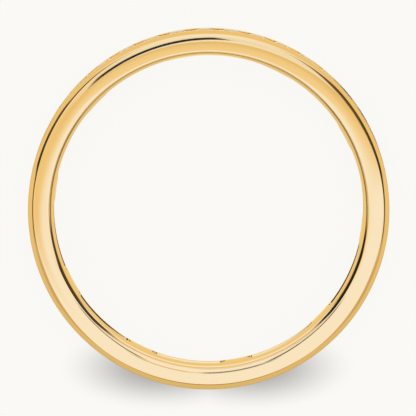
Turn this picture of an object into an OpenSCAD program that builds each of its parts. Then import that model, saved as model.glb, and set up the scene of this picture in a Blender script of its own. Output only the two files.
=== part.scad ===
// Channel set band: a gold ring with round cut stones held edge to edge between two walls, all the way round.
// The ring lies on its side. Its axis is Z, and its lower side face rests on Z = 0.

/* [Band] */
// Diameter of the finger hole at its narrowest, in the middle of the band's width
finger_hole_d = 17.3; // [14:0.05:22]
// Width of the band along the finger
band_w = 2.1; // [1.95:0.05:3]
// Thickness of the band from the finger hole to the top of the channel walls
band_t = 1.51; // [1.4:0.01:1.9]
// How far the rounded finger side rises from the middle to the side faces
comfort_rise = 0.275; // [0.1:0.005:0.35]

/* [Side faces] */
// Width of the flat ring in the middle of each side face, which the band rests on
side_flat_w = 0.2; // [0.1:0.02:0.4]
// How far each side face falls away from that flat to its edges
side_fall = 0.04; // [0.02:0.01:0.08]

/* [Outer edges] */
// Radial height of the sloping outer edge
shoulder_up = 0.27; // [0.15:0.01:0.35]
// Width of the sloping outer edge, measured along the finger
shoulder_in = 0.19; // [0.12:0.01:0.3]
// How far the sloping outer edge swells out
shoulder_swell = 0.02; // [0.01:0.01:0.05]

/* [Stones] */
// Diameter of each round stone
stone_d = 1.45; // [1.2:0.05:1.6]
// Least gap between two neighbouring stones
stone_gap = 0.03; // [0.02:0.002:0.1]
// Height of the tables above the tops of the channel walls
table_proud = 0; // [0:0.01:0.08]
// Table width as a share of the diameter
table_share = 0.57; // [0.5:0.01:0.65]
// Girdle height as a share of the diameter
girdle_share = 0.03; // [0.02:0.005:0.05]
// Slope of the crown's main facets in degrees
crown_angle = 34.5; // [30:0.5:38]
// Slope of the pavilion's main facets in degrees
pavilion_angle = 40.75; // [38:0.25:43]
// Reach of the star facets, as a share of the way from the table to the girdle
star_share = 0.5; // [0.4:0.05:0.6]
// Reach of the lower girdle facets, as a share of the way from the girdle to the point
lower_share = 0.77; // [0.65:0.01:0.85]
// Turn of the first stone from the Y axis in degrees
stone_turn = 1.4; // [-5:0.1:5]

/* [Channel] */
// How far each wall reaches over the edge of the stones
wall_over_stone = 0.09; // [0.06:0.01:0.12]
// Gap between the stones and their grooves
seat_gap = 0.02; // [0.01:0.005:0.04]
// Gap between the points of the stones and the channel floor
point_gap = 0.1; // [0.05:0.01:0.2]

/* [Windows] */
// Number of windows in the finger side of the channel
window_count = 10; // [6:1:14]
// Width of each window on the finger side
window_w = 0.96; // [0.8:0.02:1.1]
// Width of each window on the stones' side
window_inner_w = 0.64; // [0.4:0.02:0.76]
// Length of the bar between two windows, measured round the finger hole
bar_l = 1.18; // [0.8:0.02:2]
// Turn of the first bar from the Y axis in degrees
bar_turn = 10.3; // [0:0.1:36]

/* [Hidden] */
gold = [0.93, 0.74, 0.4];
clear_white = [0.93, 0.95, 0.97];
// The turn from the X axis to the Y axis
to_y = 90;
// Both ends of a window
both_ends = [1, -1];
// Straight pieces in each curve of the section, and sides of the round shapes
curve_steps = 6;
round_sides = 180;
end_sides = 48;
// How far a cutting shape runs past the metal that it cuts
overlap = 0.2;
// Main facets round a stone
facet_fold = 8;
fold_angle = 360 / facet_fold;

finger_r = finger_hole_d / 2;
wall_top_r = finger_r + band_t;
mid_z = band_w / 2;

// Heights of a stone, measured from the middle of its girdle
stone_r = stone_d / 2;
girdle_half = stone_d * girdle_share / 2;
table_r = stone_r * table_share;
crown_h = (stone_r - table_r) * tan(crown_angle);
pavilion_h = stone_r * tan(pavilion_angle);

// Places along a stone's axis, as radii of the ring
table_at = wall_top_r + table_proud;
girdle_at = table_at - crown_h - girdle_half;
point_at = girdle_at - girdle_half - pavilion_h;
floor_r = point_at - point_gap;

// As many stones as fit round the ring with the least gap between them
stone_count = floor(180 / atan((stone_r + stone_gap / 2) / (girdle_at - girdle_half)));
stone_step = 360 / stone_count;

channel_half = stone_r - wall_over_stone;
groove_half = stone_r + seat_gap;
bar_angle = bar_l / finger_r * 180 / PI;
window_step = 360 / window_count;
// How far the round end of a window reaches round the ring
window_end_angle = window_w / 2 / finger_r * 180 / PI;
// How much half a window widens for each millimetre towards the finger
window_flare = (window_w - window_inner_w) / 2 / (floor_r - finger_r);

function two_digits(n) = n < 10 ? str("0", n) : str(n);
function stone_name(n) = str("stone_", two_digits(n));

// Points on an arc from p to q, which swells to the left of that line
function bow(p, q, swell) =
    let (run = q - p, length = norm(run), left = [-run.y, run.x] / length)
    let (radius = (length * length / 4 + swell * swell) / (2 * swell))
    let (centre = (p + q) / 2 + left * (swell - radius))
    let (half = asin(length / 2 / radius), middle = atan2(left.y, left.x))
    [for (i = [0 : curve_steps]) centre
        + radius * [cos(middle + half - 2 * half * i / curve_steps),
                    sin(middle + half - 2 * half * i / curve_steps)]];

// The swell that makes an arc level at one of its ends
function level_swell(run, fall) = norm([run, fall]) / 2 * tan(atan(fall / run) / 2);

// One half of the band's section as [radius, height above the middle].
// It runs from the finger hole, over the side face and the wall, to the channel floor.
face_z = mid_z - side_fall;
face_in = [finger_r + comfort_rise, face_z];
face_out = [wall_top_r - shoulder_up, face_z];
face_mid_r = (face_in.x + face_out.x) / 2;
flat_in = [face_mid_r - side_flat_w / 2, mid_z];
flat_out = [face_mid_r + side_flat_w / 2, mid_z];
face_swell = level_swell(flat_in.x - face_in.x, side_fall);
comfort_swell = level_swell(face_z, comfort_rise);
wall_top_z = face_z - shoulder_in;
over_r = girdle_at + girdle_half + seat_gap + (stone_r + seat_gap - channel_half) * tan(crown_angle);
under_r = girdle_at - girdle_half - seat_gap - (stone_r + seat_gap - channel_half) * tan(pavilion_angle);
half_section = concat(
    bow([finger_r, 0], face_in, comfort_swell),
    bow(face_in, flat_in, face_swell),
    bow(flat_out, face_out, face_swell),
    bow(face_out, [wall_top_r, wall_top_z], shoulder_swell),
    [[wall_top_r, channel_half],
     [over_r, channel_half],
     [girdle_at + girdle_half + seat_gap, groove_half],
     [girdle_at - girdle_half - seat_gap, groove_half],
     [under_r, channel_half],
     [floor_r, channel_half]]
);
last_point = len(half_section) - 1;

// The whole section: two walls joined by the channel floor
module band_section() {
    mirrored = [for (i = [last_point : -1 : 1]) [half_section[i].x, -half_section[i].y]];
    polygon(concat(half_section, mirrored));
}

// A slot with round ends, through the channel floor
module slot() {
    slot_angle = window_step - bar_angle - 2 * window_end_angle;
    start_r = finger_r - overlap;
    depth = floor_r - finger_r + 2 * overlap;
    rotate([0, 0, -slot_angle / 2])
        rotate_extrude(angle = slot_angle, $fn = round_sides)
            translate([start_r, -window_w / 2]) square([depth, window_w]);
    for (end = both_ends)
        rotate([0, 0, end * slot_angle / 2])
            translate([start_r - overlap, 0, 0]) rotate([0, 90, 0])
                cylinder(r = window_w / 2, h = depth + 2 * overlap, $fn = end_sides);
}

// The slot with its long sides sloped, so that it widens towards the finger
module window() {
    start_r = finger_r - overlap;
    end_r = floor_r + overlap;
    start_half = window_w / 2 + overlap * window_flare;
    end_half = window_inner_w / 2 - overlap * window_flare;
    intersection() {
        slot();
        rotate([0, 0, -window_step / 2])
            rotate_extrude(angle = window_step, $fn = round_sides)
                polygon([[start_r, -start_half], [end_r, -end_half], [end_r, end_half], [start_r, start_half]]);
    }
}

module band() {
    color(gold)
        translate([0, 0, mid_z])
            difference() {
                rotate_extrude($fn = round_sides) band_section();
                for (n = [0 : window_count - 1])
                    rotate([0, 0, to_y + bar_turn + (n + 0.5) * window_step]) window();
            }
}

// A round cut stone with 57 facets and a girdle of 16 sides.
// Its table faces up, and its girdle lies round Z = 0.
function ring_point(radius, turn, z) = [radius * cos(turn), radius * sin(turn), z];
function fold(k) = k % facet_fold;
function girdle_point(k) = k % (2 * facet_fold);
star_r = let (edge = table_r * cos(fold_angle / 2)) edge + star_share * (stone_r - edge);
star_z = girdle_half + (stone_r - star_r * cos(fold_angle / 2)) * tan(crown_angle);
lower_r = stone_r * (1 - lower_share);
lower_z = -girdle_half - (stone_r - lower_r * cos(fold_angle / 2)) * tan(pavilion_angle);
sides = [0 : facet_fold - 1];
girdle_sides = [0 : 2 * facet_fold - 1];
stone_points = concat(
    [for (k = sides) ring_point(table_r, k * fold_angle, girdle_half + crown_h)],
    [for (k = sides) ring_point(star_r, (k + 0.5) * fold_angle, star_z)],
    [for (k = girdle_sides) ring_point(stone_r, k * fold_angle / 2, girdle_half)],
    [for (k = girdle_sides) ring_point(stone_r, k * fold_angle / 2, -girdle_half)],
    [for (k = sides) ring_point(lower_r, (k + 0.5) * fold_angle, lower_z)],
    [[0, 0, -girdle_half - pavilion_h]]
);
star_at = facet_fold;
top_at = star_at + facet_fold;
under_at = top_at + 2 * facet_fold;
lower_at = under_at + 2 * facet_fold;
tip_at = lower_at + facet_fold;
stone_facets = concat(
    [[for (k = sides) facet_fold - 1 - k]],
    [for (k = sides) [k, fold(k + 1), star_at + k]],
    [for (k = sides) [k, star_at + k, top_at + 2 * k, star_at + fold(k + facet_fold - 1)]],
    [for (k = sides) [star_at + k, top_at + 2 * k + 1, top_at + 2 * k]],
    [for (k = sides) [star_at + k, top_at + girdle_point(2 * k + 2), top_at + 2 * k + 1]],
    [for (k = girdle_sides)
        [top_at + k, top_at + girdle_point(k + 1), under_at + girdle_point(k + 1), under_at + k]],
    [for (k = sides) [lower_at + k, under_at + 2 * k, under_at + 2 * k + 1]],
    [for (k = sides) [lower_at + k, under_at + 2 * k + 1, under_at + girdle_point(2 * k + 2)]],
    [for (k = sides) [tip_at, lower_at + fold(k + facet_fold - 1), under_at + 2 * k, lower_at + k]]
);

module cut_stone() {
    polyhedron(points = stone_points, faces = stone_facets);
}

// The stone with the number n, set with its table facing out
module stone(n) {
    color(clear_white)
        translate([0, 0, mid_z])
            rotate([0, 0, to_y + stone_turn + (n - 1) * stone_step])
                translate([girdle_at, 0, 0]) rotate([0, 90, 0]) cut_stone();
}

band();
for (n = [1 : stone_count])
    stone(n);
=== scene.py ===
# %% [markdown]
# A channel set band is a slim ring whose stones stand edge to edge in a groove between two metal walls. The
# solids of the ring come in as the frame: one gold band and a row of round cut stones, at real size. This
# file gives them their looks. It makes a finer band, polishes the gold, makes the stones clear, and lights
# the ring from above on a pale floor.

# %% Load the ring's solids
import math

import bmesh
import bpy
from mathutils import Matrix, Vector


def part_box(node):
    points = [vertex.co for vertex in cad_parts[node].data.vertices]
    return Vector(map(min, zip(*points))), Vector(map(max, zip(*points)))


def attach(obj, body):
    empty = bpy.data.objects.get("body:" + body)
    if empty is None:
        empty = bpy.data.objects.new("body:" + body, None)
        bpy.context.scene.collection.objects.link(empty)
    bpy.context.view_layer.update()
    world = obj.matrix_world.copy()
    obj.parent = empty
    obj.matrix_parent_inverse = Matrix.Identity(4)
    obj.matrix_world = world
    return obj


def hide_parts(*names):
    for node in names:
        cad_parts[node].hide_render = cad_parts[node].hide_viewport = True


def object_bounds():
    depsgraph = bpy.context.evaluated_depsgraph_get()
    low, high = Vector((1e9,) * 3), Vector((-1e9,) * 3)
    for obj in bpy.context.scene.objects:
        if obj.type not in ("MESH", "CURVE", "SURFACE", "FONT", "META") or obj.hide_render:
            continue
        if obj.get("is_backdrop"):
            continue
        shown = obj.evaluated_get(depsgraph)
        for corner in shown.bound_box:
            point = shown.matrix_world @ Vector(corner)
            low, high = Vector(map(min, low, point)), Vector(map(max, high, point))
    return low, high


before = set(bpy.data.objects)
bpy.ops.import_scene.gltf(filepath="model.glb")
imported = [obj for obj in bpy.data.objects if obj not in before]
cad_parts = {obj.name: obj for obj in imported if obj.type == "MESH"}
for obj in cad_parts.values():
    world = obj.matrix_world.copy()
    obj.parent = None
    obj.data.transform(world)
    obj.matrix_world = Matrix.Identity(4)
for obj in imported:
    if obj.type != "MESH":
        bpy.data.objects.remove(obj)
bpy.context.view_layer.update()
stone_names = sorted(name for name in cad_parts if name.startswith("stone_"))
print("the frame holds one band and", len(stone_names), "stones")

# %% [markdown]
# Jewellers work in millimetres, and Blender's unit here is the metre, so one named value turns one into the
# other. A ring is sold by its finger hole. The band's width and its outer size come from its solid.

# %% Read the band's main sizes
MM = 0.001
finger_r = 17.3 / 2 * MM
band_low, band_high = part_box("band")
band_w = band_high[2] - band_low[2]
wall_top_r = (band_high[0] - band_low[0]) / 2
print("band %.2f mm wide, %.2f mm thick, finger hole %.2f mm across"
      % (band_w / MM, (wall_top_r - finger_r) / MM, 2 * finger_r / MM))

# %% [markdown]
# The band's surface is one section carried round the finger. On a real ring it is cast or rolled roughly to
# shape and then filed and polished: rounded on the finger side for comfort, softly domed on the side faces,
# sloping on the outer edges, with a channel between the walls and a groove in each wall for the edges of
# the stones. Every long curve is a true arc here, because polished metal shows a flat at once.

# %% Set the sizes of the faces and edges
side_fall = 0.04 * MM
comfort_rise = 0.275 * MM
shoulder_up = 0.27 * MM
shoulder_in = 0.19 * MM
shoulder_swell = 0.02 * MM

mid_z = band_w / 2
face_z = mid_z - side_fall
face_in = (finger_r + comfort_rise, face_z)
face_out = (wall_top_r - shoulder_up, face_z)
wall_top = (wall_top_r, face_z - shoulder_in)
comfort_curve_r = (face_z ** 2 + comfort_rise ** 2) / (2 * comfort_rise)
print("the side face is %.2f mm high, and the finger side is rounded to a radius of %.2f mm"
      % ((face_out[0] - face_in[0]) / MM, comfort_curve_r / MM))

# %% [markdown]
# The channel is what holds the stones. Its walls stand closer together than the stones are wide, and each
# has a groove that the setter cuts for their edges. The stones spring into these grooves, so no claw is
# needed.

# %% Set the sizes of the channel
channel_half = 0.635 * MM
groove_half = 0.745 * MM
groove_depths = [depth * MM for depth in (0.119, 0.194, 0.278, 0.373)]
groove_start_r, groove_top_r, groove_bottom_r, groove_end_r = [wall_top_r - depth for depth in groove_depths]
channel_depth = 0.982 * MM
floor_r = wall_top_r - channel_depth
print("the channel is %.2f mm wide and %.2f mm deep" % (2 * channel_half / MM, channel_depth / MM))

# %% [markdown]
# Two kinds of curve make up the section. The finger side is one arc across the whole width, so its radius
# is asked for at any height. The face and the sloping edge are arcs between two known ends, given by how
# far they swell.

# %% Draw arcs for the section
def finger_side(z):
    """Radius of the rounded finger side at the height z from the middle of the band."""
    return finger_r + comfort_curve_r - math.sqrt(comfort_curve_r ** 2 - z ** 2)


def arc_between(start, end, swell, steps):
    """Points on an arc from start to end that swells to the left of that line."""
    run = (end[0] - start[0], end[1] - start[1])
    length = math.hypot(*run)
    left = (-run[1] / length, run[0] / length)
    radius = (length * length / 4 + swell * swell) / (2 * swell)
    centre = [(start[i] + end[i]) / 2 + left[i] * (swell - radius) for i in range(2)]
    half = math.asin(length / 2 / radius)
    middle = math.atan2(left[1], left[0])
    turns = [middle + half - 2 * half * step / steps for step in range(steps + 1)]
    return [(centre[0] + radius * math.cos(turn), centre[1] + radius * math.sin(turn)) for turn in turns]


face_rise = finger_side(face_z) - finger_r
print("the finger side rises by %.3f mm from its middle to the edge of the face" % (face_rise / MM))

# %% [markdown]
# No edge on a polished ring is truly sharp. The buffing wheel takes a little off every corner, and that
# tiny round catches a thin line of light or dark, so each corner of the section that can be seen is
# rounded. The two corners of the side face are polished softer than the rest, because fingers meet them
# first.

# %% Round the corners of a path
CORNER_STEPS = 6


def rounded(corners):
    """A path through (r, z, radius) corners, with each corner rounded by its own radius."""
    path = []
    for index, (r, z, radius) in enumerate(corners):
        if radius == 0 or index in (0, len(corners) - 1):
            path.append((r, z))
            continue
        before, after = corners[index - 1], corners[index + 1]
        to_before = (before[0] - r, before[1] - z)
        to_after = (after[0] - r, after[1] - z)
        reach_before, reach_after = math.hypot(*to_before), math.hypot(*to_after)
        start = (r + to_before[0] / reach_before * radius, z + to_before[1] / reach_before * radius)
        end = (r + to_after[0] / reach_after * radius, z + to_after[1] / reach_after * radius)
        for step in range(CORNER_STEPS + 1):
            t = step / CORNER_STEPS
            a, b, c = (1 - t) ** 2, 2 * t * (1 - t), t ** 2
            path.append((a * start[0] + b * r + c * end[0], a * start[1] + b * z + c * end[1]))
    return path


print("each rounded corner has", CORNER_STEPS + 1, "points")

# %% [markdown]
# The section runs from the finger side over the side face, down the sloping outer edge, over the top of the
# wall and down into the channel. It starts at join_z, just outside the windows, because what lies between
# follows the windows and comes later. Where an arc starts inside a softened corner, its first points are
# left out, so that the corner's own curve takes their place and the reflections run on without a kink.

# %% Put the half section together
EDGE_ROUND = 0.03 * MM
FACE_EDGE_ROUND = 0.09 * MM
CORNER_REACH = FACE_EDGE_ROUND * 1.05
FACE_STEPS = 16
SHOULDER_STEPS = 10
COMFORT_STEPS = 7
join_z = 0.62 * MM


def clear_of(points, *ends):
    """The points that lie clear of the rounded corners at the ends of an arc."""
    return [(*point, 0) for point in points if all(math.dist(point, end) > CORNER_REACH for end in ends)]


comfort_zs = [join_z + (face_z - join_z) * step / COMFORT_STEPS for step in range(COMFORT_STEPS)]
corners = clear_of([(finger_side(z), z) for z in comfort_zs], face_in)
corners += [(*face_in, FACE_EDGE_ROUND)]
corners += clear_of(arc_between(face_in, face_out, side_fall, FACE_STEPS), face_in, face_out)
corners += [(*face_out, FACE_EDGE_ROUND)]
corners += clear_of(arc_between(face_out, wall_top, shoulder_swell, SHOULDER_STEPS)[:-1], face_out)
corners += [
    (*wall_top, EDGE_ROUND),
    (wall_top_r, channel_half, EDGE_ROUND),
    (groove_start_r, channel_half, 0),
    (groove_top_r, groove_half, 0),
    (groove_bottom_r, groove_half, 0),
    (groove_end_r, channel_half, 0),
    (floor_r, channel_half, 0),
]
half_section = rounded(corners)
print("the half section has", len(half_section), "points")

# %% [markdown]
# Behind the stones the band is open: long windows with round ends are cut through the channel floor, with
# solid bars between them. They save gold, let light into the stones and let soap out, and they widen
# towards the finger. A cutter could be taken away from the ring with a Boolean, but that leaves long thin
# faces on a surface that is all reflections. Here the mesh is woven round the windows instead: its columns
# follow the window's outline, fan out round each round end, and stand straight on the bars, so nearly every
# face is a neat four-sided one.

# %% Set the windows out round the ring
WINDOW_COUNT = 10
window_half = 0.48 * MM
window_inner_half = 0.32 * MM
bar_l = 1.18 * MM
bar_turn = math.radians(10.3)
WINDOW_EDGE = 0.03 * MM

window_step = 2 * math.pi / WINDOW_COUNT
end_angle = window_half / finger_r
side_angle = (window_step - bar_l / finger_r) / 2 - end_angle
flare = (window_half - window_inner_half) / (floor_r - finger_r)
print("each window is %.1f mm long" % ((window_step * finger_r - bar_l) / MM))

# %% [markdown]
# One half of a window and one half of a bar are enough: mirrored and turned, they make the whole ring. The
# columns stand evenly along the straight side. Round the end they fan out, and each keeps its own share of
# the bend.

# %% Trace one half window and half a bar
SIDE_COLUMNS, END_COLUMNS, BAR_COLUMNS = 8, 8, 4
STRAIGHT, ROUND, BAR = "straight side", "round end", "bar"


def window_columns():
    """(kind, turn, bend) of each column, from a window's middle to the middle of a bar."""
    end_reach = end_angle + WINDOW_EDGE / finger_r
    bar_start = side_angle + end_reach
    columns = [(STRAIGHT, side_angle * step / SIDE_COLUMNS, 0) for step in range(SIDE_COLUMNS)]
    columns += [(ROUND, side_angle + end_reach * step / END_COLUMNS, math.pi / 2 * step / END_COLUMNS)
                for step in range(END_COLUMNS + 1)]
    columns += [(BAR, bar_start + (window_step / 2 - bar_start) * step / BAR_COLUMNS, 0)
                for step in range(1, BAR_COLUMNS + 1)]
    return columns


def on_window(column, r, grow):
    """(turn, z) on the window's wall at the radius r, grown outwards by grow."""
    kind, turn, bend = column
    sloped_half = window_half - flare * (r - finger_r)
    if kind == STRAIGHT:
        return turn, sloped_half + grow
    z = min(window_half * math.cos(bend), sloped_half) + grow * math.cos(bend)
    return side_angle + (window_half + grow) * math.sin(bend) / r, z


half_columns = window_columns()
print(len(half_columns), "columns in each half window")

# %% [markdown]
# A window's edge is rounded too, on the finger side and on the stones' side. Each column therefore starts
# at the window's wall, rolls over the edge onto the finger side, runs round the outside of the band, and
# comes back over the other edge to the same wall.

# %% Make the points of one column
EDGE_STEPS = 3
WALL_STEPS = 3
FINGER_STEPS = 5
SETTLING_ROUNDS = 3


def finger_edge_r(column):
    """Radius at which the window's wall comes out on the rounded finger side."""
    r = finger_r
    for _ in range(SETTLING_ROUNDS):
        r = finger_side(on_window(column, r, WINDOW_EDGE)[1])
    return r


def edge_roll(column, surface_r, outwards):
    """Points that roll from a window's wall onto the surface at surface_r. outwards is -1 at the finger."""
    points = []
    for step in range(EDGE_STEPS + 1):
        bend = math.pi / 2 * step / EDGE_STEPS
        r = surface_r - outwards * WINDOW_EDGE * (1 - math.sin(bend))
        points.append((r, *on_window(column, r, WINDOW_EDGE * (1 - math.cos(bend)))))
    return points


def finger_rows(start_turn, start_z, turn):
    """Points across the finger side, from a window's edge or a bar's middle to the start of the section."""
    rows = []
    for step in range(1, FINGER_STEPS):
        share = step / FINGER_STEPS
        z = start_z + (join_z - start_z) * share
        rows.append((finger_side(z), start_turn + (turn - start_turn) * share, z))
    return rows


def column_points(column):
    """(r, turn, z) points of a column, from the window's wall at the finger round to the stones' side."""
    kind, turn, _ = column
    skin = [(r, turn, z) for r, z in half_section]
    if kind == BAR:
        return [(finger_r, turn, 0)] + finger_rows(turn, 0, turn) + skin + [(floor_r, turn, 0)]
    start = edge_roll(column, finger_edge_r(column), -1)
    end = edge_roll(column, floor_r, 1)
    return start + finger_rows(start[-1][1], start[-1][2], turn) + skin + end[::-1]


def wall_points(column):
    """Points down the window's wall, from its stones' side back to its finger side."""
    top, bottom = floor_r - WINDOW_EDGE, finger_edge_r(column) + WINDOW_EDGE
    radii = [top + (bottom - top) * step / WALL_STEPS for step in range(WALL_STEPS + 1)]
    return [(r, *on_window(column, r, 0)) for r in radii]


print("a column at a window has", len(column_points(half_columns[0])), "points")

# %% [markdown]
# Two neighbouring columns with the same number of points make a strip of faces. A bar has no window edge to
# roll over, so where a round end meets it, the points of that edge are left out. Strips down the window's
# wall close it.

# %% Weave the columns into a mesh
WELD = 1e-3 * MM


def place(mesh, points, middle, way, side):
    """Verts for (r, turn, z) points. way picks an end of the window, and side picks an edge of the band."""
    verts = []
    for r, turn, z in points:
        angle = middle + way * turn
        verts.append(mesh.verts.new((r * math.cos(angle), r * math.sin(angle), mid_z + side * z)))
    return verts


def add_strip(mesh, left, right):
    """Faces between two columns of equally many points, three-sided where two points fall together."""
    for step in range(len(left) - 1):
        ring = [left[step], right[step], right[step + 1], left[step + 1]]
        distinct = [vert for i, vert in enumerate(ring) if (vert.co - ring[i - 1].co).length > WELD]
        if len(distinct) > 2:
            mesh.faces.new(distinct)


def weave_quarter(mesh, middle, way, side):
    """One half window and half bar, on one edge of the band."""
    skins = [place(mesh, column_points(column), middle, way, side) for column in half_columns]
    for left_column, right_column, left, right in zip(half_columns, half_columns[1:], skins, skins[1:]):
        if right_column[0] == BAR and left_column[0] == ROUND:
            left = left[EDGE_STEPS:-EDGE_STEPS]
        add_strip(mesh, left, right)
    window_only = [column for column in half_columns if column[0] != BAR]
    walls = [place(mesh, wall_points(column), middle, way, side) for column in window_only]
    for left, right in zip(walls, walls[1:]):
        add_strip(mesh, left, right)


print("points closer than %.3f mm are welded" % (WELD / MM))

# %% [markdown]
# The quarters meet exactly, so welding their shared points closes the band. A count of open edges shows at
# once whether it is watertight, and the volume is printed with it. Edges sharper than 40 degrees, such as
# those of the grooves, stay crisp, and the rest is shaded smooth like polished metal.

# %% Build the whole band
def make_band():
    """The band's fine mesh, woven from quarters and welded where they meet."""
    mesh = bmesh.new()
    first_middle = math.pi / 2 + bar_turn + window_step / 2
    for number in range(WINDOW_COUNT):
        for way in (1, -1):
            for side in (1, -1):
                weave_quarter(mesh, first_middle + number * window_step, way, side)
    bmesh.ops.remove_doubles(mesh, verts=mesh.verts, dist=WELD)
    bmesh.ops.recalc_face_normals(mesh, faces=mesh.faces)
    open_edges = sum(1 for edge in mesh.edges if not edge.is_manifold)
    volume = mesh.calc_volume()
    data = bpy.data.meshes.new("polished_band")
    mesh.to_mesh(data)
    mesh.free()
    print("the band has %d faces, %d open edges and %.2f cubic mm"
          % (len(data.polygons), open_edges, volume / MM ** 3))
    return data


SHARP = math.radians(40)
band = bpy.data.objects.new("polished_band", make_band())
bpy.context.scene.collection.objects.link(band)
band.data.shade_smooth()
band.data.set_sharp_from_angle(angle=SHARP)
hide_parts("band")
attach(band, "root")

# %% [markdown]
# Gold of this colour is an alloy of about three parts gold to two parts silver and copper, a little paler
# than pure gold. Its polish is never perfect: the buffing wheel leaves a haze of hair-fine marks, and the
# alloy has the faintest clouds of colour.

# %% Name the gold and its polish
DEEPER_GOLD = (0.925, 0.735, 0.465)
PALER_GOLD = (0.945, 0.765, 0.500)
MARKS_SCALE, MARKS_DETAIL = 9000, 3
CLOUDS_SCALE, CLOUDS_DETAIL = 260, 2
LEAST_HAZE, MOST_HAZE = 0.03, 0.08
RELIEF_STRENGTH = 0.02
RELIEF_DEPTH = 0.002 * MM
marks_apart, clouds_apart = 1 / MARKS_SCALE, 1 / CLOUDS_SCALE
print("the marks are about %.2f mm apart and the clouds %.1f mm" % (marks_apart / MM, clouds_apart / MM))

# %% [markdown]
# A very fine noise stands for the marks, in the roughness and in a slight relief. A slow noise carries the
# colour from one gold to another that is very close to it. Both run through the metal itself, so no seam
# can show.

# %% Mix the polished gold
def node_tools(owner):
    """The node tree of a material or a world, with short ways to add a node and to join two sockets."""
    tree = owner.node_tree
    return tree.nodes, tree.links.new


def noise_over(nodes, join, place, scale, detail):
    """A noise over the piece, as values from 0 to 1."""
    noise = nodes.new("ShaderNodeTexNoise")
    noise.inputs["Scale"].default_value = scale
    noise.inputs["Detail"].default_value = detail
    join(place.outputs["Object"], noise.inputs["Vector"])
    return noise.outputs["Fac"]


def polished_gold():
    """Gold with hair-fine marks from the buffing wheel and faint clouds of colour."""
    material = bpy.data.materials.new("polished_yellow_gold")
    material.use_nodes = True
    nodes, join = node_tools(material)
    metal = nodes["Principled BSDF"]
    metal.inputs["Metallic"].default_value = 1
    place_on_band = nodes.new("ShaderNodeTexCoord")
    marks = noise_over(nodes, join, place_on_band, MARKS_SCALE, MARKS_DETAIL)
    clouds = noise_over(nodes, join, place_on_band, CLOUDS_SCALE, CLOUDS_DETAIL)

    tint = nodes.new("ShaderNodeMix")
    tint.data_type = "RGBA"
    tint.inputs[6].default_value = (*DEEPER_GOLD, 1)
    tint.inputs[7].default_value = (*PALER_GOLD, 1)
    join(clouds, tint.inputs[0])
    join(tint.outputs[2], metal.inputs["Base Color"])

    haze = nodes.new("ShaderNodeMapRange")
    haze.inputs["To Min"].default_value = LEAST_HAZE
    haze.inputs["To Max"].default_value = MOST_HAZE
    join(marks, haze.inputs["Value"])
    join(haze.outputs["Result"], metal.inputs["Roughness"])

    relief = nodes.new("ShaderNodeBump")
    relief.inputs["Strength"].default_value = RELIEF_STRENGTH
    relief.inputs["Distance"].default_value = RELIEF_DEPTH
    join(marks, relief.inputs["Height"])
    join(relief.outputs["Normal"], metal.inputs["Normal"])
    return material


band.data.materials.append(polished_gold())
print("the band is", band.data.materials[0].name)

# %% [markdown]
# The stones are clear and cut to throw light back, so their material is a perfectly clear crystal with the
# high index of diamond. The solids already have every facet with flat faces and sharp edges, which is just
# what a cut stone needs, so they keep their own meshes and only take the material.

# %% Make the stones clear
DIAMOND_IOR = 2.417


def clear_stone():
    """A clear crystal that bends light as strongly as diamond does."""
    material = bpy.data.materials.new("clear_cut_stone")
    material.use_nodes = True
    crystal = material.node_tree.nodes["Principled BSDF"]
    crystal.inputs["Base Color"].default_value = (1, 1, 1, 1)
    crystal.inputs["Roughness"].default_value = 0
    crystal.inputs["IOR"].default_value = DIAMOND_IOR
    crystal.inputs["Transmission Weight"].default_value = 1
    return material


stone_material = clear_stone()
for name in stone_names:
    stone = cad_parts[name]
    stone.data.materials.clear()
    stone.data.materials.append(stone_material)
print(len(stone_names), "stones are", stone_material.name)

# %% [markdown]
# Polished metal has no colour of its own to speak of: it shows its surroundings, tinted. The studio is
# therefore built as a jeweller's photographer would, from a white tent, a warm reflector and dark strips
# that draw lines into the polish. Each is a card: a plane that glows in its own colours and fades out at
# its edges. Lamps would do for plain light, but only a card has a shape to be mirrored.

# %% Fade out the edges of a card
def soft_step(nodes, join, distance, reach):
    """1 where distance is over reach, 0 where it is under 0, and a smooth slope between."""
    step = nodes.new("ShaderNodeMapRange")
    step.interpolation_type = "SMOOTHSTEP"
    step.inputs["From Max"].default_value = reach
    join(distance, step.inputs["Value"])
    return step.outputs["Result"]


def edge_distance(nodes, join, coordinate, half):
    """How far inside the card's edge a coordinate lies."""
    from_middle = nodes.new("ShaderNodeMath")
    from_middle.operation = "ABSOLUTE"
    join(coordinate, from_middle.inputs[0])
    inside = nodes.new("ShaderNodeMath")
    inside.operation = "SUBTRACT"
    inside.inputs[0].default_value = half
    join(from_middle.outputs[0], inside.inputs[1])
    return inside.outputs[0]


def edge_cover(nodes, join, axes, size, softness):
    """1 in the middle of the card and 0 at its edges."""
    cover = nodes.new("ShaderNodeMath")
    cover.operation = "MULTIPLY"
    for socket, axis, length, reach in zip(cover.inputs, "XY", size, softness):
        distance = edge_distance(nodes, join, axes.outputs[axis], length / 2)
        join(soft_step(nodes, join, distance, reach), socket)
    return cover.outputs[0]


# %% [markdown]
# A card's colours run along its own Y axis, from stop to stop, like a strip of dyed paper. Most cards need
# only one colour or a fade between two. Where the card fades out, its paint turns into clear film, so that
# what hangs behind it shows.

# %% Paint a card
def colour_ramp(nodes, join, colours, value):
    """The colours, given as (share, colour) stops, picked out by a value from 0 to 1."""
    ramp = nodes.new("ShaderNodeValToRGB")
    stops = ramp.color_ramp.elements
    while len(stops) < len(colours):
        stops.new(1)
    for stop, (position, colour) in zip(stops, colours):
        stop.position = position
        stop.color = (*colour, 1)
    join(value, ramp.inputs[0])
    return ramp.outputs["Color"]


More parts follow.
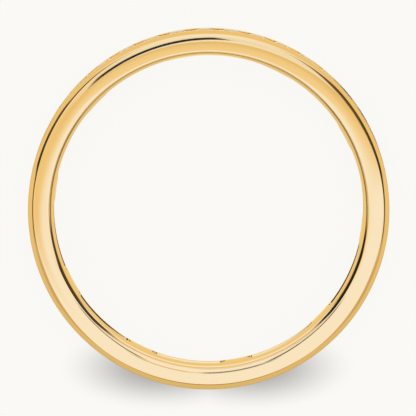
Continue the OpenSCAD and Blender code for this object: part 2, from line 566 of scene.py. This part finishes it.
def card_paint(name, size, colours, softness):
    """A glow in the card's colours that fades to clear film at its edges."""
    paint = bpy.data.materials.new(name)
    paint.use_nodes = True
    nodes, join = node_tools(paint)
    nodes.remove(nodes["Principled BSDF"])
    place_on_card = nodes.new("ShaderNodeTexCoord")
    axes = nodes.new("ShaderNodeSeparateXYZ")
    join(place_on_card.outputs["Object"], axes.inputs[0])
    share = nodes.new("ShaderNodeMapRange")
    share.inputs["From Min"].default_value = -size[1] / 2
    share.inputs["From Max"].default_value = size[1] / 2
    join(axes.outputs["Y"], share.inputs["Value"])
    glow = nodes.new("ShaderNodeEmission")
    join(colour_ramp(nodes, join, colours, share.outputs["Result"]), glow.inputs["Color"])
    film = nodes.new("ShaderNodeBsdfTransparent")
    mix = nodes.new("ShaderNodeMixShader")
    join(edge_cover(nodes, join, axes, size, softness), mix.inputs[0])
    join(film.outputs[0], mix.inputs[1])
    join(glow.outputs[0], mix.inputs[2])
    join(mix.outputs[0], nodes["Material Output"].inputs["Surface"])
    return paint


def even(colour):
    """Stops for a card of one colour."""
    return [(0, colour), (1, colour)]


def fade(first, last):
    """Stops for a card that goes from one colour to another."""
    return [(0, first), (1, last)]


# %% [markdown]
# The cards stand in the studio but not in the picture. Only the gold and the stones see them: the camera
# doesn't, and they throw no shadow and no light of their own onto the floor. They are stage, not part of
# the ring.

# %% Build a card
def card(name, centre, size, turn, colours, softness, tilt=0):
    """A card for the gold and the stones to mirror. Lengths are in millimetres, turn and tilt in degrees."""
    centre, size, softness = [[length * MM for length in lengths] for lengths in (centre, size, softness)]
    rotation = (math.radians(tilt), 0, math.radians(turn))
    bpy.ops.mesh.primitive_plane_add(size=1, location=centre, rotation=rotation)
    plane = bpy.context.object
    plane.name = name
    for vert in plane.data.vertices:
        vert.co = (vert.co.x * size[0], vert.co.y * size[1], 0)
    plane.data.materials.append(card_paint(name, size, colours, softness))
    plane.visible_camera = False
    plane.visible_diffuse = False
    plane.visible_shadow = False
    plane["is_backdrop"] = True
    print("%s is %.2f by %.2f mm, %.2f mm up" % (name, size[0] / MM, size[1] / MM, centre[2] / MM))


# %% [markdown]
# Few colours are enough. The whites are the bare light of the tent, the honeys and amber are what
# gold-coloured reflectors give, and the darks are cloth. White is a little over 1 and a little blue,
# because gold takes blue out of everything that it mirrors.

# %% Name the colours of the cards
WHITE = (1.01, 1.03, 1.05)
SOFT_WHITE = (0.94, 0.91, 0.76)
PALE_HONEY = (0.97, 0.84, 0.56)
HONEY = (0.92, 0.73, 0.37)
DEEP_HONEY = (0.915, 0.71, 0.335)
AMBER = (0.79, 0.61, 0.28)
DUSK = (0.66, 0.48, 0.22)
GREY = (0.45, 0.45, 0.42)
BROWN = (0.17, 0.10, 0.035)
BLACK = (0.02, 0.017, 0.014)
print("a black card glows with %.1f per cent of a white one's light" % (100 * BLACK[1] / WHITE[1]))

# %% [markdown]
# The side face looks straight up, so it shows what hangs 60 mm above it. The tent whitens the lower half of
# the face, and its dusky edge dims the outer slope at the bottom. The warm reflector turns the top from
# pale honey to amber, and a second reflector warms the left.

# %% Hang the tent and the warm reflectors
CARD_Z = 60
TENT_Z = CARD_Z + 2
card("dusky_edge", (0, -37, TENT_Z + 1), (160, 46), 0, even(DUSK), (10, 6))
card("white_tent", (0, -11, TENT_Z), (62, 78), 0,
     [(0, WHITE), (0.77, WHITE), (0.83, SOFT_WHITE), (1, SOFT_WHITE)], (4, 4))
card("warm_reflector", (-1, 1.3, CARD_Z), (74, 18.5), 7,
     [(0.05, WHITE), (0.30, PALE_HONEY), (0.55, HONEY), (0.95, AMBER)], (9, 2))
card("warm_side", (-24, 0, CARD_Z - 0.5), (36, 38), 0, even(HONEY), (16, 13))

# %% [markdown]
# A black strip under the tent draws the line over the top left. Dark flags hang at both sides, where the
# face bends down into the sloping edges, and draw the lines there. A grey card opens a gap in the right
# one.

# %% Hang the strip and the flags
FLAG_Z = CARD_Z - 1
card("black_strip", (-6.5, 13.6, FLAG_Z), (19.5, 6), 23, even(BLACK), (1.5, 0.8))
card("left_flag", (-56, 19, FLAG_Z), (46, 36), -18, fade(BLACK, BROWN), (4, 6))
card("right_flag", (29, 13, FLAG_Z), (12, 24), 37, fade(BLACK, BROWN), (4, 6))
card("far_right_flag", (48, 18.5, FLAG_Z), (40, 54), 28, fade(BLACK, BROWN), (4, 10))
card("grey_gap", (24.5, 8, FLAG_Z - 1), (4, 5), 37, even(GREY), (2, 2))

# %% [markdown]
# Cards held close to the ring show only in the part of it that lies under them. A gold one over the top of
# the ring warms the inner half of the side face there, and a white one clears the lower half. Under the
# white one hang thin rods: a dark one and a gold one for the fine line near the bottom of the face, and two
# more that carry this line out to both sides, towards the inner edge.

# %% Hold two cards and four rods close
CLOSE_Z = 15
ROD_Z = CLOSE_Z - 1
card("close_gold", (0, 5.7, CLOSE_Z), (18, 4.8), 0, fade(PALE_HONEY, HONEY), (4, 0.8))
card("close_white", (0, -6.1, CLOSE_Z), (15, 5.4), 0, even(WHITE), (3, 0.5))
card("dark_rod", (1.4, -8.78, ROD_Z), (4.6, 0.85), 10, fade(GREY, BLACK), (1, 0.2))
card("dark_rod_right", (4.05, -6.6, ROD_Z), (5, 0.8), 50, even(BLACK), (0.9, 0.25))
card("brown_rod_left", (-4.1, -6.55, ROD_Z), (4.6, 0.75), -50, even(BROWN), (1, 0.25))
card("gold_rod", (-2.2, -8.7, ROD_Z), (4, 0.8), -16, even(AMBER), (1, 0.3))

# %% [markdown]
# The rounded inner edge sweeps its reflections right across the finger hole in less than a tenth of a
# millimetre. Dark cards low over the hole, four level and two upright, therefore draw the dark line along
# that edge.

# %% Lower dark cards into the finger hole
LOW_Z = 5
UPRIGHT = 90
card("low_dark_right", (5.05, -2.95, LOW_Z), (4.4, 4.2), -30, even(BLACK), (0.4, 0.8))
card("low_dark_left", (-4.9, -3.45, LOW_Z), (4.4, 4.4), 35, even(BLACK), (0.4, 0.8))
card("low_dark_top_right", (3.1, 2.4, LOW_Z), (6, 3), -52, fade(BLACK, BROWN), (2, 0.3))
card("low_dark_top_left", (-3.5, 1.9, LOW_Z), (5.5, 2.6), 62, even(BROWN), (2, 0.3))
card("upright_dark_right", (4.35, -2.5, LOW_Z / 2), (4.4, LOW_Z), 60,
     even(BLACK), (0.8, 0.1), UPRIGHT)
card("upright_dark_left", (-4.25, -2.65, LOW_Z / 2), (5, LOW_Z), -58,
     fade(BLACK, BROWN), (0.8, 0.1), UPRIGHT)

# %% [markdown]
# The floor is a plain pale sheet, lit so evenly that it almost glows. The photographed ring stood upright
# and shaded the sheet under it. This ring lies down, so its sheet carries that soft shade as paint. The
# shade has two soft lobes that meet under the ring's lower edge, and it stops under the metal, so that the
# finger hole stays clean.

# %% Measure the places on the floor
SHADE_CENTRES = ((-2.7 * MM, -9.15 * MM), (2.5 * MM, -9.15 * MM))
SHADE_HALF = (4.8 * MM, 2.05 * MM)
SHADE_SOFT_FROM, SHADE_SOFT_TO = 0.09, 1.25
SHADE_DEPTH = 0.6
middle_r = (finger_r + wall_top_r) / 2


def distance_on_floor(nodes, join, centre, half):
    """How far a place on the floor lies from an oval's centre, as a share of the oval's half sizes."""
    spot = nodes.new("ShaderNodeTexCoord")
    from_centre = nodes.new("ShaderNodeMapping")
    from_centre.inputs["Location"].default_value = (-centre[0] / half[0], -centre[1] / half[1], 0)
    from_centre.inputs["Scale"].default_value = (1 / half[0], 1 / half[1], 1)
    join(spot.outputs["Object"], from_centre.inputs["Vector"])
    distance = nodes.new("ShaderNodeVectorMath")
    distance.operation = "LENGTH"
    join(from_centre.outputs["Vector"], distance.inputs[0])
    return distance.outputs["Value"]


print("each lobe of the shade reaches %.1f mm sideways" % (SHADE_HALF[0] * SHADE_SOFT_TO / MM))

# %% [markdown]
# The light on each place of the sheet is the dimmer of the two lobes, and never dimmed inside the ring. It
# sets how strongly the sheet glows, and a thin coat of plain paint under the glow still takes the light of
# the studio.

# %% Paint the floor
FLOOR_GLOW = (0.883, 0.887, 0.876)
FLOOR_PAINT = (0.096, 0.095, 0.091)
FLOOR_ROUGHNESS = 0.9


def floor_light(nodes, join):
    """How much light falls on each place of the floor, from 0 to 1."""
    nearer = nodes.new("ShaderNodeMath")
    nearer.operation = "MINIMUM"
    for socket, centre in zip(nearer.inputs, SHADE_CENTRES):
        join(distance_on_floor(nodes, join, centre, SHADE_HALF), socket)
    shade = nodes.new("ShaderNodeMapRange")
    shade.interpolation_type = "SMOOTHSTEP"
    shade.inputs["From Min"].default_value = SHADE_SOFT_FROM
    shade.inputs["From Max"].default_value = SHADE_SOFT_TO
    shade.inputs["To Min"].default_value = 1 - SHADE_DEPTH
    join(nearer.outputs[0], shade.inputs["Value"])
    inside_ring = nodes.new("ShaderNodeMath")
    inside_ring.operation = "LESS_THAN"
    inside_ring.inputs[1].default_value = 1
    join(distance_on_floor(nodes, join, (0, 0), (middle_r, middle_r)), inside_ring.inputs[0])
    light = nodes.new("ShaderNodeMath")
    light.operation = "MAXIMUM"
    join(shade.outputs["Result"], light.inputs[0])
    join(inside_ring.outputs["Value"], light.inputs[1])
    return light.outputs["Value"]


def pale_floor_paint():
    """A pale sheet that glows evenly, apart from the ring's soft shade."""
    material = bpy.data.materials.new("pale_floor_paint")
    material.use_nodes = True
    nodes, join = node_tools(material)
    paper = nodes["Principled BSDF"]
    paper.inputs["Base Color"].default_value = (*FLOOR_PAINT, 1)
    paper.inputs["Roughness"].default_value = FLOOR_ROUGHNESS
    paper.inputs["Specular IOR Level"].default_value = 0
    paper.inputs["Emission Color"].default_value = (*FLOOR_GLOW, 1)
    join(floor_light(nodes, join), paper.inputs["Emission Strength"])
    return material


print("the floor glows with %.0f per cent of full light where nothing shades it" % (100 * FLOOR_GLOW[1]))

# %% [markdown]
# One flat plane is all that the sheet needs. It lies at the height that the ring rests on, and it is stage,
# so it isn't part of the ring either. Reflections skip it, for the reason that the next step gives.

# %% Lay the floor
FLOOR_SIZE = 1.0
bpy.ops.mesh.primitive_plane_add(size=FLOOR_SIZE)
floor = bpy.context.object
floor.name = "pale_floor"
floor.data.materials.append(pale_floor_paint())
floor.visible_glossy = False
floor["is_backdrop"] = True
print("the floor is %.0f m wide" % FLOOR_SIZE)

# %% [markdown]
# The polish doesn't see that sheet. A ring throws gold onto the floor inside its own finger hole and back
# onto itself, so the world below the ring is warm in reflections. Only beyond the top of the ring, where
# the tables of the stones and the tops of the walls look down at open floor, does a card show them the
# sheet, in warm light. A narrow dark card beside it draws the dark outline at the upper right.

# %% Show the pale floor to the stones
FLOOR_LIGHT = (1.02, 0.86, 0.56)
JUST_OVER_FLOOR = 0.01
card("open_floor", (0, 12, JUST_OVER_FLOOR), (19, 9.5), 0, even(FLOOR_LIGHT), (4, 0.5))
card("dark_floor", (9.15, 4.85, JUST_OVER_FLOOR), (1.2, 8), 28, even(BLACK), (0.1, 1.5))

# %% [markdown]
# Beyond the cards the studio is warm at eye level, with a dark belt above, where the tent's rim hangs, and
# a second one below, where its foot stands. The upper belt draws the thin brown line where the side face
# turns into the sloping edges, and the lower one darkens the rounded finger side. Towards the ring's top
# the tent is open and both belts give way to white. On the other side the studio is a little dimmer.

# %% Name the colours round the ring
BELTED_SIDE = [(0.20, HONEY), (0.24, BROWN), (0.34, BROWN), (0.38, DEEP_HONEY),
               (0.865, DEEP_HONEY), (0.885, BROWN), (0.925, BROWN), (0.94, HONEY), (0.96, WHITE)]
OPEN_SIDE = [(0.20, HONEY), (0.25, WHITE), (0.34, WHITE), (0.38, DEEP_HONEY),
             (0.83, DEEP_HONEY), (0.90, WHITE)]
OPEN_FROM_Y, OPEN_TO_Y = 0.40, 0.50
DIMMEST = 0.85
DIMMEST_AT_Y = -0.9
print("the belted side has %d stops of colour and the open side %d" % (len(BELTED_SIDE), len(OPEN_SIDE)))

# %% [markdown]
# The direction of a ray is a point on a ball of radius 1. Its Z says how high the ray looks, and its Y how
# far towards the ring's top. Each side has a colour ramp over the height, and a smooth step in Y blends the
# two.

# %% Paint the studio round the ring
def studio_colours(nodes, join, looking):
    """Colours by the height that a ray looks at, from 0 straight down to 1 straight up, and by its side."""
    height = nodes.new("ShaderNodeMapRange")
    height.inputs["From Min"].default_value = -1
    join(looking.outputs["Z"], height.inputs["Value"])
    openness = nodes.new("ShaderNodeMapRange")
    openness.interpolation_type = "SMOOTHSTEP"
    openness.inputs["From Min"].default_value = OPEN_FROM_Y
    openness.inputs["From Max"].default_value = OPEN_TO_Y
    join(looking.outputs["Y"], openness.inputs["Value"])
    sides = nodes.new("ShaderNodeMix")
    sides.data_type = "RGBA"
    join(openness.outputs["Result"], sides.inputs[0])
    join(colour_ramp(nodes, join, BELTED_SIDE, height.outputs["Result"]), sides.inputs[6])
    join(colour_ramp(nodes, join, OPEN_SIDE, height.outputs["Result"]), sides.inputs[7])
    return sides.outputs[2]


def side_brightness(nodes, join, looking):
    """Full light on the side of the ring's top, and a little less on the other side."""
    brightness = nodes.new("ShaderNodeMapRange")
    brightness.inputs["From Min"].default_value = DIMMEST_AT_Y
    brightness.inputs["From Max"].default_value = 0
    brightness.inputs["To Min"].default_value = DIMMEST
    join(looking.outputs["Y"], brightness.inputs["Value"])
    return brightness.outputs["Result"]


print("the dim side has %.0f per cent of the light" % (100 * DIMMEST))

# %% [markdown]
# A camera that stands low would look past the ring at these colours, and clear stones would take their
# tint. Both see a plain pale backdrop instead, which leaves the warm studio to the gold.

# %% Set the studio round the ring
BACKDROP = (0.94, 0.935, 0.91)


def behind_backdrop(nodes, join, colours):
    """The backdrop for the camera and for rays that leave a stone, and the colours for the rest."""
    ray = nodes.new("ShaderNodeLightPath")
    sees_backdrop = nodes.new("ShaderNodeMath")
    sees_backdrop.operation = "MAXIMUM"
    join(ray.outputs["Is Camera Ray"], sees_backdrop.inputs[0])
    join(ray.outputs["Is Transmission Ray"], sees_backdrop.inputs[1])
    backdrop = nodes.new("ShaderNodeMix")
    backdrop.data_type = "RGBA"
    backdrop.inputs[7].default_value = (*BACKDROP, 1)
    join(sees_backdrop.outputs[0], backdrop.inputs[0])
    join(colours, backdrop.inputs[6])
    return backdrop.outputs[2]


def studio_world():
    """The studio beyond the cards."""
    world = bpy.data.worlds.new("studio")
    world.use_nodes = True
    nodes, join = node_tools(world)
    direction = nodes.new("ShaderNodeTexCoord")
    looking = nodes.new("ShaderNodeSeparateXYZ")
    join(direction.outputs["Generated"], looking.inputs[0])
    colours = behind_backdrop(nodes, join, studio_colours(nodes, join, looking))
    join(colours, nodes["Background"].inputs["Color"])
    join(side_brightness(nodes, join, looking), nodes["Background"].inputs["Strength"])
    return world


bpy.context.scene.world = studio_world()
print("the world is called", bpy.context.scene.world.name)

# %% [markdown]
# The photograph looks almost straight through the finger hole, from a little above the ring's top. The ring
# here lies on its side, so the camera stands over it and leans towards its top by the same angle. A long
# lens from 40 cm away keeps the far edge of the band almost as big as the near one.

# %% Place the camera
CAMERA_LEAN = math.radians(6.1)
CAMERA_DISTANCE = 400 * MM
PICTURE_SIDE = 416
PIXELS_PER_MM = 17.76
SENSOR_SIDE = 36
RING_CENTRE_IN_PICTURE = (208.65, 208.65)
NEAREST_SEEN = 10 * MM
lens = bpy.data.cameras.new("camera")
lens.sensor_width = SENSOR_SIDE
lens.lens = SENSOR_SIDE * CAMERA_DISTANCE / (PICTURE_SIDE / PIXELS_PER_MM * MM)
lens.clip_start = NEAREST_SEEN
lens.shift_x = (PICTURE_SIDE / 2 - RING_CENTRE_IN_PICTURE[0]) / PICTURE_SIDE
lens.shift_y = (RING_CENTRE_IN_PICTURE[1] - PICTURE_SIDE / 2) / PICTURE_SIDE
camera = bpy.data.objects.new("camera", lens)
bpy.context.scene.collection.objects.link(camera)
camera_y, camera_up = CAMERA_DISTANCE * math.sin(CAMERA_LEAN), CAMERA_DISTANCE * math.cos(CAMERA_LEAN)
camera.location = (0, camera_y, mid_z + camera_up)
camera.rotation_euler = (-CAMERA_LEAN, 0, 0)
bpy.context.scene.camera = camera
bpy.context.scene.view_settings.view_transform = "Standard"
print("the lens is %.0f mm long" % lens.lens)

# %% [markdown]
# A last measurement gives the size of the finished ring, band and stones together.

# %% Finish
scene_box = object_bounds()
ring_sizes = tuple((scene_box[1][i] - scene_box[0][i]) / MM for i in range(3))
print("the ring is %.2f by %.2f by %.2f mm" % ring_sizes)
